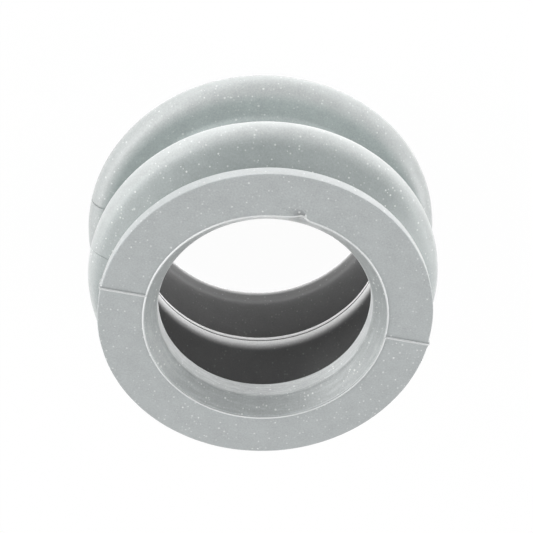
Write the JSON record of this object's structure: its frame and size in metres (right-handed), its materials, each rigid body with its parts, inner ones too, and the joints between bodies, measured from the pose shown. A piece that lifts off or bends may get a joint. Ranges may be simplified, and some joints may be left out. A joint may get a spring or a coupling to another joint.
{
  "type": "dishwasher drain seal",
  "caption": "Grey rubber drain seal for a dishwasher: a bellows with a flat flange, a lead-in cone and a pipe bore.",
  "frame": {"origin": "centre of the tail ring, on the axis of the seal, where the seal stands on the floor", "axes": "+Z along the axis, from the tail up to the flange; the mould halves meet in the XZ plane; the torn gate is on the -Y side"},
  "size_m": [0.0616, 0.0616, 0.0417],
  "materials": {
    "seal_rubber": "matte grey rubber with a fine moulded grain and a pale dusty bloom"
  },
  "bodies": {
    "root": {"drain_seal": "seal_rubber"}
  },
  "joints": []
}
